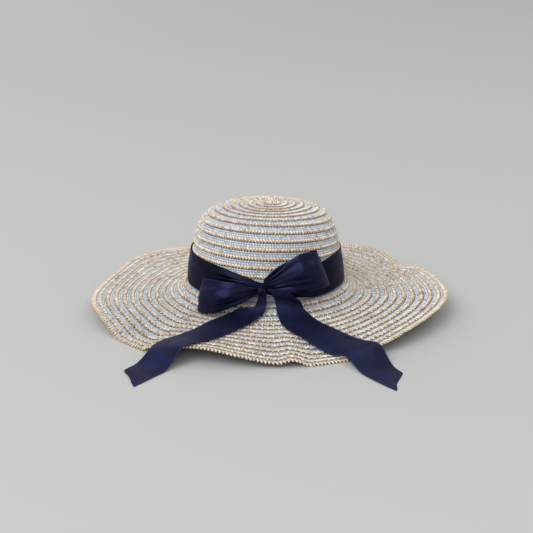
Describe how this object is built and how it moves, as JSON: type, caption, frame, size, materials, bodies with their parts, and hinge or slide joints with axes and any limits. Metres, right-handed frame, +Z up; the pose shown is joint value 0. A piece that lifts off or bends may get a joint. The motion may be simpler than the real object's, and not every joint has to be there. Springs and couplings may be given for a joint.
{
  "type": "floppy straw sun hat with ribbon bow",
  "caption": "Floppy sun hat of sewn straw braid with a round crown, a wide wavy brim and a wide satin ribbon tied in a bow at the front.",
  "frame": {"origin": "middle of the box that the hat and its laid out ribbon tails fill, on the floor that the brim rests on", "axes": "+Z up through the crown; -Y towards the front, where the bow is; +X to the right of someone who looks at the bow"},
  "size_m": [0.4178, 0.4748, 0.1233],
  "materials": {
    "crown_straw": "rough woven braid, pale blue and cream",
    "brim_straw": "rough woven braid, cream and tan",
    "band_satin": "dark blue satin",
    "bow_satin": "dark blue satin"
  },
  "bodies": {
    "root": {"crown": "crown_straw", "brim": "brim_straw", "ribbon_band": "band_satin", "bow_knot": "bow_satin", "bow_loop_left": "bow_satin", "bow_loop_right": "bow_satin", "bow_tail_left": "bow_satin", "bow_tail_right": "bow_satin"}
  },
  "joints": []
}
